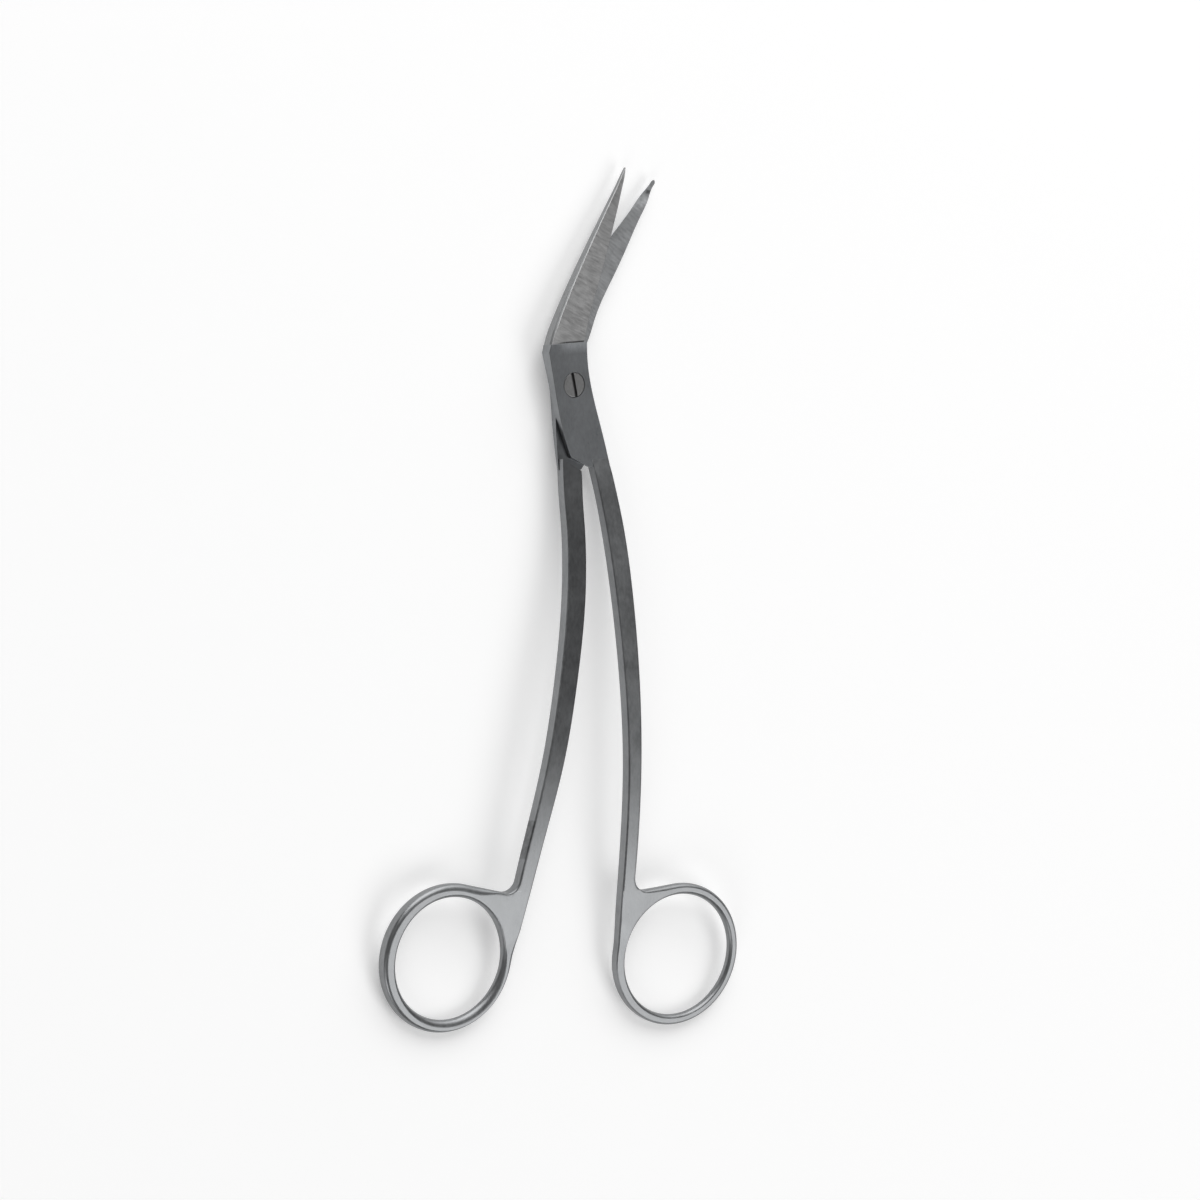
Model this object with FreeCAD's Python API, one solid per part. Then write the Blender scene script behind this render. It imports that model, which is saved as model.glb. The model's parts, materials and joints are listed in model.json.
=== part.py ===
import FreeCAD, Part
import math
import os

# Angled surgical scissors: two forged halves that lap at a slotted pivot screw.
# Millimetres. Everything is drawn closed, with the pivot axis on Z, the meeting plane of the
# two halves at z = 0, the blades towards +Y and the screw head towards +Z. The front half
# (screw head side) has the left blade and the right handle. At the end the halves are opened
# about the pivot, the whole is tipped so that it lies on the lock's back edge and both
# rings, and its origin is put under the middle of its box.

Vec = FreeCAD.Vector

# opening of the halves
open_angle = 9.4
# gap between the two meeting faces
lap_gap = 0.06

# lock: half thickness at the pivot, and the slope at which it thins towards the handles
lock_half_thickness = 2.1
lock_slope_angle = 5.0
# the knee, where blade and lock meet
knee_y = 8.3
# edges of the lap plates, from the knee down to the handles
front_left_edge = [(-5.2, knee_y), (-5.55, 6.3), (-4.65, 0.3), (-3.2, -7.6), (-1.4, -13.6)]
rear_left_edge = [(-4.2, knee_y), (-4.45, 6.3), (-3.19, -0.8), (-2.62, -5.5), (-2.06, -10.2)]
lock_right_edge = [(3.3, knee_y), (3.3, 5.6), (3.7, 1.3), (4.8, -3.9), (6.5, -10.2)]
# where each plate's own edge runs into its shank
left_root = (-1.0, -16.9)
right_root = (8.15, -16.9)
# the front plate's free end: its toe, then its heel beside the handle
plate_toe = (-1.05, -14.3)
plate_heel = (3.4, -16.55)
# the rear half's shoulder, which stops the end of the front plate
shoulder_outer = (-2.6, -14.1)
shoulder_inner = (3.55, -16.7)
# middle line of the lock, in which a plate's end is mirrored to give the other half's
lock_lean_angle = 14.4
lock_mid_at_pivot = -0.4

# blades: tip of the closed pair, and how far their axis leans from the handles' line
blade_tip = (16.87, 42.1)
blade_lean_angle = 28.7
# distance back from the tip, spine offset and cutting edge offset from the blade's axis
front_blade_stations = [
    (0.1, 0.05, 0.35), (1.3, 0.2, 0.75), (3.5, 0.38, 1.13), (7.0, 0.77, 1.68),
    (13.5, 1.55, 2.50), (21.0, 2.36, 3.15), (30.0, 3.10, 3.6), (35.0, 3.33, 4.13),
    (39.0, 3.25, 4.3), (41.0, 2.95, 4.1)]
rear_blade_stations = [
    (-0.45, 0.16, 0.1), (-0.25, 0.38, 0.24), (0.6, 0.55, 0.42), (3.5, 1.02, 0.92),
    (7.5, 1.38, 1.33), (13.5, 1.95, 2.12), (21.0, 2.56, 2.85), (30.0, 3.42, 3.2),
    (35.0, 4.5, 3.0), (39.0, 4.6, 2.5), (41.0, 4.4, 2.2)]
# height of the spine and of the cutting edge's flank over the meeting plane
spine_height_at_tip = 0.6
spine_height_at_knee = 2.45
edge_height_at_tip = 0.28
edge_height_at_knee = 2.35
# how fast the flank of the cutting edge thickens, and where the section is full
edge_height_power = 1.6
full_section_distance = 36.0
spine_chamfer_at_tip = 0.16
spine_chamfer_at_knee = 0.42
cutting_bevel = 0.3
# near the tip, the most that chamfer and bevel take of the blade's width, and how far up the
# cutting flank starts, as a share of its height
chamfer_share = 0.8
bevel_share = 0.4
flank_share = 0.2

# finger rings, of round section, and how far their middles lie behind the pivot
ring_hole_radius = 12.3
rear_ring_section_radius = 1.27
front_ring_section_radius = 1.14
handle_reach = 114.35
rear_ring_centre = (-17.72, -handle_reach)
front_ring_centre = (17.62, -handle_reach)
ring_centre_height = -3.1
# the rings slope down towards their far ends
ring_slope_angle = 10.6

# handle shanks, between the inside of the lock and the ring: share of the way, height of the
# pair's middle over the meeting plane, how far each half is set to its own side of it, half
# thickness, chamfer, x and width of the rear half's shank, x and width of the front half's
shank_root_y = -13.0
shank_stations = [
    (0.0, 0.0, 0.30, 1.10, 0.05, 0.55, 3.6, 5.15, 3.6),
    (0.046, 0.0, 0.30, 1.12, 0.15, 1.38, 4.45, 6.15, 3.9),
    (0.092, 0.05, 0.20, 1.18, 0.32, 1.93, 4.53, 6.85, 4.0),
    (0.161, 0.30, 0.05, 1.23, 0.35, 2.85, 4.4, 7.53, 4.08),
    (0.346, 1.17, 0.0, 1.25, 0.35, 3.68, 4.37, 8.30, 3.95),
    (0.530, 1.84, 0.0, 1.25, 0.35, 2.65, 4.15, 8.17, 3.55),
    (0.714, 1.90, 0.0, 1.25, 0.35, 0.78, 3.9, 7.37, 3.15),
    (0.887, 0.92, 0.0, 1.25, 0.38, -1.76, 3.45, 6.07, 3.02)]
# the shank's last stations, measured up from the ring's middle: how far the shank's middle
# stands out from the ring's own middle line, its half width there, and its half thickness
rear_ring_approach = [(14.5, 1.12, 1.6, 1.22), (8.0, 0.6, 1.38, 1.18), (0.0, 0.0, 1.1, 0.98)]
front_ring_approach = [(14.5, -1.0, 1.42, 1.22), (8.0, -0.5, 1.25, 1.15), (0.0, 0.0, 0.98, 0.9)]
approach_chamfer = 0.42
# web between ring and shank: where its straight hand side leaves the ring, counted from the
# shank's side of the ring, then its fillet against the shank and its half thickness
web_tangent_angle = 85.0
web_fillet_radius = 2.8
web_half_thickness = 1.1

# pivot screw
head_radius = 2.42
head_depth = 0.9
neck_radius = 1.6
thread_radius = 1.35
slot_width = 0.6
slot_depth = 0.55
slot_lean_angle = 20.0
running_clearance = 0.04
thread_clearance = 0.02

# a size larger than anything on the scissors, for cutting bodies
far = 400.0


def lean(point, origin, angle_deg):
    """Coordinates (along, across) of a plan point in a frame that leans to the right."""
    a = math.radians(angle_deg)
    dx = point[0] - origin[0]
    dy = point[1] - origin[1]
    return dx * math.sin(a) + dy * math.cos(a), dx * math.cos(a) - dy * math.sin(a)


def unlean(along, across, origin, angle_deg):
    """Plan point from its coordinates in a leaning frame."""
    a = math.radians(angle_deg)
    x = origin[0] + along * math.sin(a) + across * math.cos(a)
    y = origin[1] + along * math.cos(a) - across * math.sin(a)
    return x, y


def mirrored_in_lock(point):
    """The same point on the other half, mirrored in the lock's middle line."""
    origin = (lock_mid_at_pivot, 0.0)
    along, across = lean(point, origin, -lock_lean_angle)
    return unlean(along, -across, origin, -lock_lean_angle)


def plan_vec(point, z=0.0):
    return Vec(point[0], point[1], z)


def plan_curve(points):
    curve = Part.BSplineCurve()
    curve.interpolate([plan_vec(p) for p in points])
    return curve.toShape()


def plan_lines(points):
    return [Part.makeLine(plan_vec(p), plan_vec(q)) for p, q in zip(points, points[1:])]


def plan_face(edges):
    return Part.Face(Part.Wire(Part.__sortEdges__(edges)))


def mirrored_back(shape):
    """The shape mirrored in the meeting plane, for the rear half."""
    return shape.mirror(Vec(0, 0, 0), Vec(0, 0, 1))


def above_lock_face():
    """Everything above the sloping outer face of the lock's front plate."""
    block = Part.makeBox(2 * far, 2 * far, far, Vec(-far, -far, 0))
    block.rotate(Vec(0, 0, 0), Vec(1, 0, 0), lock_slope_angle)
    block.translate(Vec(0, 0, lock_half_thickness))
    return block


def lap_plate(left_points, right_points, end_points):
    """Plate from the meeting face up to the lock's sloping outer face."""
    edges = [plan_curve(left_points), plan_curve(right_points)]
    edges += plan_lines([left_points[0], right_points[0]])
    edges += plan_lines([left_points[-1]] + end_points + [right_points[-1]])
    face = plan_face(edges)
    face.translate(Vec(0, 0, lap_gap / 2))
    plate = face.extrude(Vec(0, 0, 2 * lock_half_thickness))
    return plate.cut(above_lock_face())


def front_plate():
    return lap_plate(front_left_edge, lock_right_edge + [right_root], [plate_toe, plate_heel])


def rear_plate():
    end_points = [mirrored_in_lock(plate_heel), mirrored_in_lock(plate_toe)]
    plate = lap_plate(rear_left_edge + [left_root], lock_right_edge, end_points)
    return mirrored_back(plate)


def blade_section(station, spine_side):
    """Section across the blade: flat inner face, chamfered spine, bevelled cutting edge."""
    distance, spine, edge = station
    t = min(max(distance / full_section_distance, 0.0), 1.0)
    spine_height = spine_height_at_tip + (spine_height_at_knee - spine_height_at_tip) * t
    rise = edge_height_at_knee - edge_height_at_tip
    edge_height = edge_height_at_tip + rise * t ** edge_height_power
    chamfer = spine_chamfer_at_tip + (spine_chamfer_at_knee - spine_chamfer_at_tip) * t
    chamfer = min(chamfer, chamfer_share * (spine + edge))
    bevel = min(cutting_bevel, bevel_share * (spine + edge))
    inner = lap_gap / 2
    corners = [
        (-spine, inner), (-spine, spine_height - chamfer), (-spine + chamfer, spine_height),
        (edge - bevel, edge_height), (edge, inner + flank_share * edge_height), (edge, inner)]
    points = []
    for across, z in corners:
        x, y = unlean(-distance, -spine_side * across, blade_tip, blade_lean_angle)
        points.append(Vec(x, y, z))
    return Part.makePolygon(points + [points[0]])


def blade(stations, spine_side):
    """Blade from tip to knee; its spine is on the left (-1) or on the right (1)."""
    return Part.makeLoft([blade_section(s, spine_side) for s in stations], True, False)


def ring_level(y, centre):
    """Height of the sloping ring plane."""
    return ring_centre_height + (y - centre[1]) * math.tan(math.radians(ring_slope_angle))


def ring_approach(side):
    return rear_ring_approach if side < 0 else front_ring_approach


def shank_path(side, centre, section_radius):
    """Stations of one shank: middle point, half width, half thickness and chamfer.
    The side is -1 for the rear half, left of the other one, and 1 for the front half."""
    rows = []
    run = centre[1] + ring_approach(side)[0][0] - shank_root_y
    for share, height, offset, half, chamfer, rear_x, rear_width, front_x, front_width in shank_stations:
        x, width = (rear_x, rear_width) if side < 0 else (front_x, front_width)
        y = shank_root_y + share * run
        rows.append((Vec(x, y, height - side * offset), width / 2, half, chamfer))
    middle_radius = ring_hole_radius + section_radius
    for up, out, half_width, half in ring_approach(side):
        y = centre[1] + up
        x = centre[0] - side * (middle_radius + out)
        rows.append((Vec(x, y, ring_level(y, centre)), half_width, half, approach_chamfer))
    return rows


def shank_section(point, tangent, half_width, half_thickness, chamfer):
    """Eight-cornered section across the shank's path."""
    sideways = tangent.cross(Vec(0, 0, 1)).normalize()
    upwards = sideways.cross(tangent).normalize()
    w, h, c = half_width, half_thickness, chamfer
    corners = [
        (w, h - c), (w - c, h), (c - w, h), (-w, h - c),
        (-w, c - h), (c - w, -h), (w - c, -h), (w, c - h)]
    points = [point + sideways * a + upwards * b for a, b in corners]
    return Part.makePolygon(points + [points[0]])


def shank(side, centre, section_radius):
    rows = shank_path(side, centre, section_radius)
    path = Part.BSplineCurve()
    path.interpolate([row[0] for row in rows])
    sections = []
    for point, half_width, half, chamfer in rows:
        tangent = path.tangent(path.parameter(point))[0]
        sections.append(shank_section(point, tangent, half_width, half, chamfer))
    return Part.makeLoft(sections, True, False)


def other_half_space(side):
    """The space of the other half's plate, up to the shoulder that stops the plate's end."""
    outer, inner = shoulder_outer, shoulder_inner
    if side > 0:
        outer, inner = mirrored_in_lock(outer), mirrored_in_lock(inner)
    run = Vec(inner[0] - outer[0], inner[1] - outer[1], 0).normalize()
    ends = [plan_vec(outer) - run * far, plan_vec(outer) + run * far]
    if ends[0].x > ends[1].x:
        ends.reverse()
    corners = [ends[0], ends[1], ends[1] + Vec(0, far, 0), ends[0] + Vec(0, far, 0), ends[0]]
    face = Part.Face(Part.makePolygon(corners))
    face.translate(Vec(0, 0, side * lap_gap / 2))
    return face.extrude(Vec(0, 0, -side * far))


def finger_ring(centre, section_radius):
    ring = Part.makeTorus(ring_hole_radius + section_radius, section_radius)
    ring.rotate(Vec(0, 0, 0), Vec(1, 0, 0), ring_slope_angle)
    ring.translate(plan_vec(centre, ring_centre_height))
    return ring


def ring_web(side, centre, section_radius):
    """Fills the corner between ring and shank: a straight side from the ring, then a fillet."""
    middle_radius = ring_hole_radius + section_radius
    outer_radius = middle_radius + section_radius
    (up, out, half_width), (near_up, near_out, near_half_width) = [
        row[:3] for row in ring_approach(side)[:2]]
    head = Vec(middle_radius + out - half_width, up, 0)
    foot = Vec(middle_radius + near_out - near_half_width, near_up, 0)
    turn = math.radians(web_tangent_angle)
    from_ring = Vec(math.cos(turn), math.sin(turn), 0)
    along_shank = (head - foot).normalize()
    from_shank = Vec(-along_shank.y, along_shank.x, 0)
    # middle of the fillet, at its radius from both sides
    ring_distance = outer_radius + web_fillet_radius
    shank_distance = foot.dot(from_shank) + web_fillet_radius
    span = from_ring.x * from_shank.y - from_ring.y * from_shank.x
    middle = Vec(
        (ring_distance * from_shank.y - shank_distance * from_ring.y) / span,
        (shank_distance * from_ring.x - ring_distance * from_shank.x) / span, 0)
    bisector = (from_ring + from_shank).normalize()
    side_end = middle - from_ring * web_fillet_radius
    fillet_middle = middle - bisector * web_fillet_radius
    on_shank = middle - from_shank * web_fillet_radius
    in_shank = on_shank - from_shank * half_width
    equator = Vec(middle_radius, 0, 0)
    half_way = Vec(middle_radius * math.cos(turn / 2), middle_radius * math.sin(turn / 2), 0)
    under_ring = from_ring * middle_radius
    edges = [
        Part.makeLine(under_ring, from_ring * outer_radius),
        Part.makeLine(from_ring * outer_radius, side_end),
        Part.Arc(side_end, fillet_middle, on_shank).toShape(),
        Part.makeLine(on_shank, in_shank),
        Part.makeLine(in_shank, equator),
        Part.Arc(equator, half_way, under_ring).toShape()]
    web = plan_face(edges)
    web.translate(Vec(0, 0, -web_half_thickness))
    web = web.extrude(Vec(0, 0, 2 * web_half_thickness))
    if side > 0:
        web = web.mirror(Vec(0, 0, 0), Vec(1, 0, 0))
    web.rotate(Vec(0, 0, 0), Vec(1, 0, 0), ring_slope_angle)
    web.translate(plan_vec(centre, ring_centre_height))
    return web


def handle(side, centre, section_radius):
    """Shank, finger ring and web of one half."""
    grip = shank(side, centre, section_radius).cut(other_half_space(side))
    grip = grip.fuse(finger_ring(centre, section_radius))
    return grip.fuse(ring_web(side, centre, section_radius))


def upright(radius, bottom, top):
    return Part.makeCylinder(radius, top - bottom, Vec(0, 0, bottom))


def head_seat():
    return lock_half_thickness - head_depth


def front_half():
    half = front_plate().fuse(blade(front_blade_stations, -1))
    half = half.fuse(handle(1, front_ring_centre, front_ring_section_radius))
    top = 2 * lock_half_thickness
    half = half.cut(upright(neck_radius + running_clearance, 0, top))
    half = half.cut(upright(head_radius + running_clearance, head_seat(), top))
    return half.removeSplitter()


def rear_half():
    half = rear_plate().fuse(mirrored_back(blade(rear_blade_stations, 1)))
    half = half.fuse(handle(-1, rear_ring_centre, rear_ring_section_radius))
    half = half.cut(upright(thread_radius + thread_clearance, -2 * lock_half_thickness, 0))
    return half.removeSplitter()


def pivot_screw():
    """Head flush with the front plate, neck through it, threaded end flush behind."""
    deep = 2 * lock_half_thickness
    head = upright(head_radius, head_seat() + thread_clearance, deep)
    neck = upright(neck_radius, -lap_gap / 2, head_seat() + thread_clearance)
    thread = upright(thread_radius, -deep, -lap_gap / 2)
    screw = head.fuse(neck).fuse(thread)
    screw = screw.cut(above_lock_face()).cut(mirrored_back(above_lock_face()))
    slot = Part.makeBox(slot_width, 3 * head_radius, far, Vec(-slot_width / 2, -1.5 * head_radius, 0))
    slot.rotate(Vec(0, 0, 0), Vec(0, 0, 1), slot_lean_angle)
    slot.rotate(Vec(0, 0, 0), Vec(1, 0, 0), lock_slope_angle)
    slot.translate(Vec(0, 0, lock_half_thickness - slot_depth))
    return screw.cut(slot).removeSplitter()


def lying_angle():
    """Turn about X that brings the knee's back edge and the rings' far ends to one level."""
    slope = math.radians(ring_slope_angle)
    reach = ring_hole_radius + rear_ring_section_radius
    ring_y = rear_ring_centre[1] - reach * math.cos(slope)
    ring_z = ring_centre_height - reach * math.sin(slope) - rear_ring_section_radius
    knee_z = -lock_half_thickness - knee_y * math.tan(math.radians(lock_slope_angle))
    return math.degrees(math.atan2(ring_z - knee_z, knee_y - ring_y))


nodes = {
    "front_half": (front_half(), open_angle / 2),
    "rear_half": (rear_half(), -open_angle / 2),
    "pivot_screw": (pivot_screw(), -open_angle / 2)}

origin = Vec(0, 0, 0)
for shape, turn in nodes.values():
    shape.rotate(origin, Vec(0, 0, 1), turn)
    shape.rotate(origin, Vec(1, 0, 0), lying_angle())

box = FreeCAD.BoundBox()
for shape, turn in nodes.values():
    box.add(shape.optimalBoundingBox())
shift = Vec(-box.Center.x, -box.Center.y, -box.ZMin)

os.makedirs("parts", exist_ok=True)
for name, (shape, turn) in nodes.items():
    shape.translate(shift)
    shape.exportStep("parts/" + name + ".step")
    print(name, "valid", shape.isValid(), "solids", len(shape.Solids), "volume", round(shape.Volume, 3))

tilt = math.radians(lying_angle())
print("size", round(box.XLength, 3), round(box.YLength, 3), round(box.ZLength, 3))
print("pivot at", [round(v, 4) for v in shift])
print("pivot axis", [0.0, round(-math.sin(tilt), 6), round(math.cos(tilt), 6)])
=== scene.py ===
# %% [markdown]
# Angled surgical scissors
#
# A pair of scissors is two forged halves and one screw. Each half is one piece of steel, from
# the blade through the lock and the shank to the finger ring. The CAD model gives the places
# and sizes. This notebook gives each half the rounded edges and the flowing ring of steel
# that is finished by hand, then its satin finish, and lights it as on a studio table.

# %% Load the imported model
import bmesh
import bpy
import json
import math
import numpy as np
from mathutils import Matrix, Vector
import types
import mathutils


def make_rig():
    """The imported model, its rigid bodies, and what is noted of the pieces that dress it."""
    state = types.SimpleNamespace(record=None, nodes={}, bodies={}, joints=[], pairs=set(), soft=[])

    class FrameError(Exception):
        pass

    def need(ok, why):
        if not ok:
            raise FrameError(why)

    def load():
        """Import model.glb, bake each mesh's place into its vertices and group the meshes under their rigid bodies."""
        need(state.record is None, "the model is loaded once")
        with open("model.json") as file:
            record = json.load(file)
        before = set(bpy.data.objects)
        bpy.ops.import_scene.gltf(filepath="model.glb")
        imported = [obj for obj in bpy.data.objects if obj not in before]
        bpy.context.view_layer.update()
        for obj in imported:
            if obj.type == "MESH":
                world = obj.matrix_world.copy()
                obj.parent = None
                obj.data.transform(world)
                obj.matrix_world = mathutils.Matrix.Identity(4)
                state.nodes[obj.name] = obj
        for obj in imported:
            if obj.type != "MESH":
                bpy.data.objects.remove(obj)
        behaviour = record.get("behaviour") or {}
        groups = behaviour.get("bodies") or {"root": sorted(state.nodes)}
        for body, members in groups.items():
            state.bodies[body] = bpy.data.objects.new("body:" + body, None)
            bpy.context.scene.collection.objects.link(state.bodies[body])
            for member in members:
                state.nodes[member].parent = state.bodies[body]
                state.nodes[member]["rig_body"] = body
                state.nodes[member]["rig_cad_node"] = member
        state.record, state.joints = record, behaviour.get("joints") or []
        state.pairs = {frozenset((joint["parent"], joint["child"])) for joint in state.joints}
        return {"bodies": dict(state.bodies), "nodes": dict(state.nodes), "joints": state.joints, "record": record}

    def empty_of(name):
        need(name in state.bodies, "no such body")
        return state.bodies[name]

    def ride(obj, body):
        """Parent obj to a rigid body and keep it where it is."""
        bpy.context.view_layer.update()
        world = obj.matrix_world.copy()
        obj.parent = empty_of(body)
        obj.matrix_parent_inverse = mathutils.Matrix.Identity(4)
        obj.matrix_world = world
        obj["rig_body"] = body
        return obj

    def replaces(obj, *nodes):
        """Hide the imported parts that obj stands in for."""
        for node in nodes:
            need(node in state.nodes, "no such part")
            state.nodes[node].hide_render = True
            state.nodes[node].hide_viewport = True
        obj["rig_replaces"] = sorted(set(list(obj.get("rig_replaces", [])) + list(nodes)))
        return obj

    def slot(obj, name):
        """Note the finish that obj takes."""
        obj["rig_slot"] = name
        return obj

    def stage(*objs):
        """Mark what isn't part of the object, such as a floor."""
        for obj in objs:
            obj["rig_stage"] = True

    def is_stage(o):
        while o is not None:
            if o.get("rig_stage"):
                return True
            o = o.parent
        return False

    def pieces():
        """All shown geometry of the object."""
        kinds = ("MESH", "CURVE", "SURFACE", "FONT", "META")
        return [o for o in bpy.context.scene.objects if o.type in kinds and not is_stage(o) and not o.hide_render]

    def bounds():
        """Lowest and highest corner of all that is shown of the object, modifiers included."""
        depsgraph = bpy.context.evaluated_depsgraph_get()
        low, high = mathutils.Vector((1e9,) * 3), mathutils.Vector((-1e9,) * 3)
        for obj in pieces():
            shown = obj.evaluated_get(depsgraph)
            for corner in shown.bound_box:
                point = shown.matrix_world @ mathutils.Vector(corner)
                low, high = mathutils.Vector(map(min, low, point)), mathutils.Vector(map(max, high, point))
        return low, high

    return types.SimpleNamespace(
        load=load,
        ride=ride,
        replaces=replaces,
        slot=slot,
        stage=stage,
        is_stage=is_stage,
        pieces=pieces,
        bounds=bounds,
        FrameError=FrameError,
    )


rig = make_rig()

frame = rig.load()
cad_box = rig.bounds()
print("pieces in the packed model:", sorted(frame["nodes"]))

# %% [markdown]
# Where the scissors lie
#
# Every shape below is worked out in millimetres in the frame of the closed scissors: the pivot
# at the origin, its axis on Z, the blades towards +Y, and the meeting plane of the halves at
# z = 0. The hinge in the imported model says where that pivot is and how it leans, so the
# shapes land on the CAD model without any fitting.

# %% From the closed scissors to the table
hinge = frame["joints"][0]
pivot = np.array(hinge["pos_m"])
pivot_axis = np.array(hinge["axis"])
open_angle = -hinge["range_deg"][0]
# how far the blades lean to the right of the lock's own line, in degrees
blade_lean_angle = 28.7
across_axis = np.array([1.0, 0.0, 0.0])
lying_axes = np.stack([across_axis, np.cross(pivot_axis, across_axis), pivot_axis])
MM = 0.001
mm_in_metre = 1000


def table_matrix(turn=0.0):
    """Closed-frame millimetres to metres on the table: turned about the pivot axis by the angle
    in degrees, then laid along the lying axes, then moved to the pivot."""
    lying = Matrix(lying_axes.T.tolist()).to_4x4()
    return (Matrix.Translation(pivot) @ lying @ Matrix.Rotation(math.radians(turn), 4, "Z")
            @ Matrix.Scale(MM, 4))


print("pivot", pivot, "opened by", open_angle, "degrees")

# %% [markdown]
# The camera
#
# A product photograph like this one is taken from far away with a long lens, so that the
# scissors hardly shrink towards the far end. The camera looks down on them from the left,
# about 34 degrees off the upright, with the blades pointing up in the picture.

# %% Set up the camera
px_per_mm = 5.076
lens_px = 10000.0
picture_px = 1200.0
sensor_mm = 36.0
# the middle of the picture, in millimetres to the right of the pivot and above it
aim_right, aim_up = 5.063, -42.356
side_lean = math.radians(33.5)
nod = math.radians(0.4)
view_right = np.array([math.cos(side_lean), -math.sin(side_lean) * math.sin(nod),
                       math.sin(side_lean) * math.cos(nod)])
view_up = np.array([0.0, math.cos(nod), math.sin(nod)])
view_back = np.cross(view_right, view_up)
lock_face_height = 2.1
eye = (np.array([0, 0, lock_face_height]) + aim_right * view_right + aim_up * view_up
       + lens_px / px_per_mm * view_back)

camera_data = bpy.data.cameras.new("studio_camera")
camera_data.sensor_width = sensor_mm
camera_data.lens = sensor_mm * lens_px / picture_px
camera_data.clip_end = 20.0
camera = bpy.data.objects.new("studio_camera", camera_data)
bpy.context.scene.collection.objects.link(camera)
view_axes = np.stack([view_right, view_up, view_back]) @ lying_axes
camera.matrix_world = (Matrix.Translation(table_matrix() @ Vector(eye))
                       @ Matrix(view_axes.T.tolist()).to_4x4())
bpy.context.scene.camera = camera
print("camera at", [round(v, 3) for v in camera.location], "lens", round(camera_data.lens, 1))

# %% [markdown]
# Helpers for surfaces
#
# A forged handle has no corners along its length, so its sizes are given at a few stations
# and a smooth curve runs through them. A grid of points worked out with numpy then becomes a
# mesh in one step.

# %% Smooth curves and closed skins
def smooth_through(knots, values, at):
    """Natural cubic spline: through every knot, with the same slope and the same bend on both
    sides of each. The bends solve one small set of linear equations."""
    knots, values, at = [np.asarray(given, float) for given in (knots, values, at)]
    count = len(knots)
    step = np.diff(knots)
    slope = np.diff(values, axis=0) / step[:, None]
    system, right = np.eye(count), np.zeros_like(values)
    inner = np.arange(1, count - 1)
    system[inner, inner - 1] = step[:-1]
    system[inner, inner] = 2 * (step[:-1] + step[1:])
    system[inner, inner + 1] = step[1:]
    right[1:-1] = 6 * np.diff(slope, axis=0)
    bend = np.linalg.solve(system, right)
    k = np.clip(np.searchsorted(knots, at) - 1, 0, count - 2)
    h, a, b = step[k][:, None], (knots[k + 1] - at)[:, None], (at - knots[k])[:, None]
    return ((bend[k] * a ** 3 + bend[k + 1] * b ** 3) / (6 * h)
            + (values[k] / h - bend[k] * h / 6) * a
            + (values[k + 1] / h - bend[k + 1] * h / 6) * b)


def grid_faces(rows, columns):
    """Quads between neighbouring closed rows of points, which are numbered row by row. The last
    row of quads joins the last row of points to the first."""
    here = np.arange(rows * columns).reshape(rows, columns)
    above = np.roll(here, -1, 0)
    return np.stack([here, np.roll(here, -1, 1), np.roll(above, -1, 1), above], -1)


weld_distance = 1e-4


def mesh_object(name, points, faces):
    """A new object, in closed-frame millimetres, whose faces are turned outwards."""
    mesh = bpy.data.meshes.new(name)
    mesh.from_pydata(points, [], faces)
    work = bmesh.new()
    work.from_mesh(mesh)
    bmesh.ops.remove_doubles(work, verts=work.verts, dist=weld_distance)
    bmesh.ops.recalc_face_normals(work, faces=work.faces)
    work.to_mesh(mesh)
    work.free()
    piece = bpy.data.objects.new(name, mesh)
    bpy.context.scene.collection.objects.link(piece)
    return piece


def tube_object(name, loops):
    """Closed skin over a stack of equal loops, with a flat cap at both ends."""
    rows, columns = loops.shape[:2]
    faces = grid_faces(rows, columns)[:-1].reshape(-1, 4).tolist()
    caps = [list(range(columns)), list(range((rows - 1) * columns, rows * columns))]
    return mesh_object(name, loops.reshape(-1, 3), faces + caps)


def joined(base, tool, operation):
    """Two closed skins made one, or the second taken from the first; each keeps its finish."""
    cut = base.modifiers.new("cut", "BOOLEAN")
    cut.object, cut.operation = tool, operation
    cut.solver, cut.material_mode = "EXACT", "TRANSFER"
    bpy.context.view_layer.update()
    with_cut = base.evaluated_get(bpy.context.evaluated_depsgraph_get())
    result = bpy.data.meshes.new_from_object(with_cut)
    base.modifiers.clear()
    base.data = result
    bpy.data.objects.remove(tool)
    return base


def rounded(corners, cut):
    """Rounds every corner of closed polygons, shape (rows, corners, 2): a curve that starts and
    ends the cut length away from the corner, (1-w)^2 start + 2w(1-w) corner + w^2 end."""
    most_of_a_side, steps = 0.45, 4
    before = np.roll(corners, 1, axis=1) - corners
    after = np.roll(corners, -1, axis=1) - corners
    long_before = np.linalg.norm(before, axis=2, keepdims=True)
    long_after = np.linalg.norm(after, axis=2, keepdims=True)
    shorter = np.minimum(long_before, long_after)
    cut = np.minimum(np.asarray(cut)[None, :, None], most_of_a_side * shorter)
    start, end = corners + before / long_before * cut, corners + after / long_after * cut
    start, corner, end = start[:, :, None], corners[:, :, None], end[:, :, None]
    w = np.linspace(0, 1, steps)[None, None, :, None]
    curve = (1 - w) ** 2 * start + 2 * w * (1 - w) * corner + w ** 2 * end
    return curve.reshape(len(corners), -1, 2)


# %% [markdown]
# Finishes
#
# All the steel is stainless, but not all of it is finished alike. The blades are ground, which
# leaves fine lines and makes them the brightest; their backs, which the wheel does not touch,
# are darker. The lock's faces are dulled, so that they do not dazzle, and are the darkest. The
# handles and their rings have one even satin. Each finish is a few expressions on noise,
# written with a small class that turns sums and products into shader nodes.

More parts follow.
